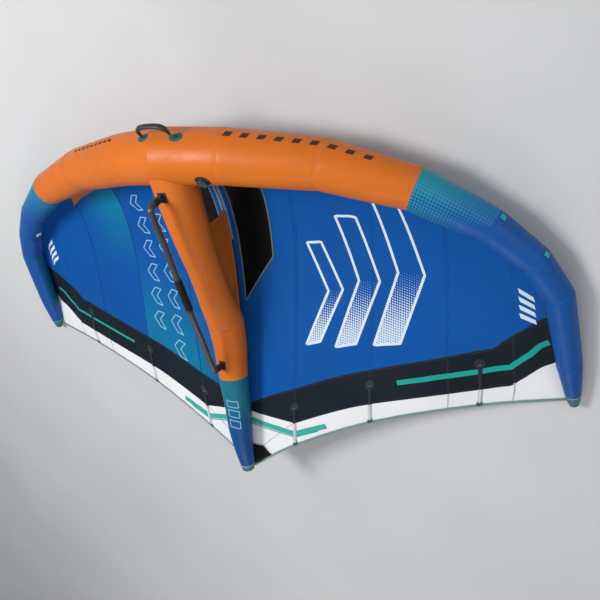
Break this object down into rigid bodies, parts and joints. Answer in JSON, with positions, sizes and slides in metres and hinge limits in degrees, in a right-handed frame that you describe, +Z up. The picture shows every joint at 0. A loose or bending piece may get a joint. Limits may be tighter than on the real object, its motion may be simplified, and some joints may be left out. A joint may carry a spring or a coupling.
{
  "type": "wingfoil wing",
  "caption": "Inflatable wing with a swept leading edge tube, a centre strut, a panelled canopy with windows and battens, a boom and a neutral handle.",
  "frame": {"origin": "middle of the ground contact, under the centre of the wing as it lies on its back", "axes": "+X towards the flyer's right tip (span), +Y from the leading edge to the trailing edge, +Z up, towards the strut and the handles"},
  "size_m": [3.4416, 2.0172, 0.5875],
  "materials": {
    "orange": "woven polyester, satin",
    "orange_web": "ripstop cloth",
    "le_teal": "woven polyester, printed",
    "le_blue": "woven polyester, satin",
    "strut_teal": "woven polyester, printed",
    "cap_grey": "coated cloth",
    "blue": "ripstop cloth",
    "window": "clear film, dark tint",
    "black_cloth": "ripstop cloth",
    "white_cloth": "ripstop cloth",
    "corner": "ripstop cloth",
    "hem": "folded tape",
    "webbing": "webbing",
    "carbon": "wound carbon, satin",
    "grip": "foam grip, matt",
    "moulded": "moulded",
    "valve_teal": "moulded",
    "bladder": "clear film",
    "batten": "glass fibre strip"
  },
  "bodies": {
    "wing": {"boom_front_anchor": "webbing", "boom_rear_anchor": "webbing", "le_bladder": "bladder", "le_centre_sleeve": "orange", "left_batten_1": "batten", "left_batten_2": "batten", "left_batten_3": "batten", "left_batten_pocket_1": "black_cloth", "left_batten_pocket_2": "black_cloth", "left_batten_pocket_3": "black_cloth", "left_black_band": "black_cloth", "left_canopy_panel_1": "blue", "left_canopy_panel_2": "blue", "left_canopy_panel_3": "blue", "left_canopy_panel_4": "blue", "left_corner_panel": "corner", "left_le_inner_sleeve": "orange", "left_le_outer_sleeve": "le_blue", "left_le_pattern_sleeve": "le_teal", "left_le_tip_sleeve": "le_blue", "left_tip_cap": "cap_grey", "left_trailing_hem": "hem", "left_white_panel": "white_cloth", "left_window": "window", "neutral_handle_left_foot": "webbing", "neutral_handle_right_foot": "webbing", "right_batten_1": "batten", "right_batten_2": "batten", "right_batten_3": "batten", "right_batten_pocket_1": "black_cloth", "right_batten_pocket_2": "black_cloth", "right_batten_pocket_3": "black_cloth", "right_black_band": "black_cloth", "right_canopy_panel_1": "blue", "right_canopy_panel_2": "blue", "right_canopy_panel_3": "blue", "right_canopy_panel_4": "blue", "right_corner_panel": "corner", "right_le_inner_sleeve": "orange", "right_le_outer_sleeve": "le_blue", "right_le_pattern_sleeve": "le_teal", "right_le_tip_sleeve": "le_blue", "right_tip_cap": "cap_grey", "right_trailing_hem": "hem", "right_white_panel": "white_cloth", "right_window": "window", "strut_bladder": "bladder", "strut_end_cap": "cap_grey", "strut_front_sleeve": "orange", "strut_rear_sleeve": "strut_teal", "strut_web": "orange_web", "transfer_duct": "bladder", "valve_body": "moulded", "valve_patch": "webbing"},
    "boom": {"boom_tube": "carbon", "boom_grip": "grip", "boom_front_fitting": "moulded", "boom_rear_fitting": "moulded"},
    "neutral_handle": {"neutral_handle": "webbing"},
    "valve_cap": {"valve_cap": "valve_teal"}
  },
  "joints": [
    {"name": "boom_swing", "type": "hinge", "parent": "wing", "child": "boom", "pos_m": [0, -0.67421, 0.50215], "axis": [0, 0.9925, -0.1224], "range_deg": [-30, 30]},
    {"name": "neutral_handle_fold", "type": "hinge", "parent": "wing", "child": "neutral_handle", "pos_m": [-0.035, -0.94908, 0.45286], "axis": [1, 0, 0], "range_deg": [-45, 45]},
    {"name": "valve_cap_flip", "type": "hinge", "parent": "wing", "child": "valve_cap", "pos_m": [-0.21842, -0.7084, 0.43697], "axis": [-0.9884, 0.0749, -0.1318], "range_deg": [0, 140]}
  ]
}
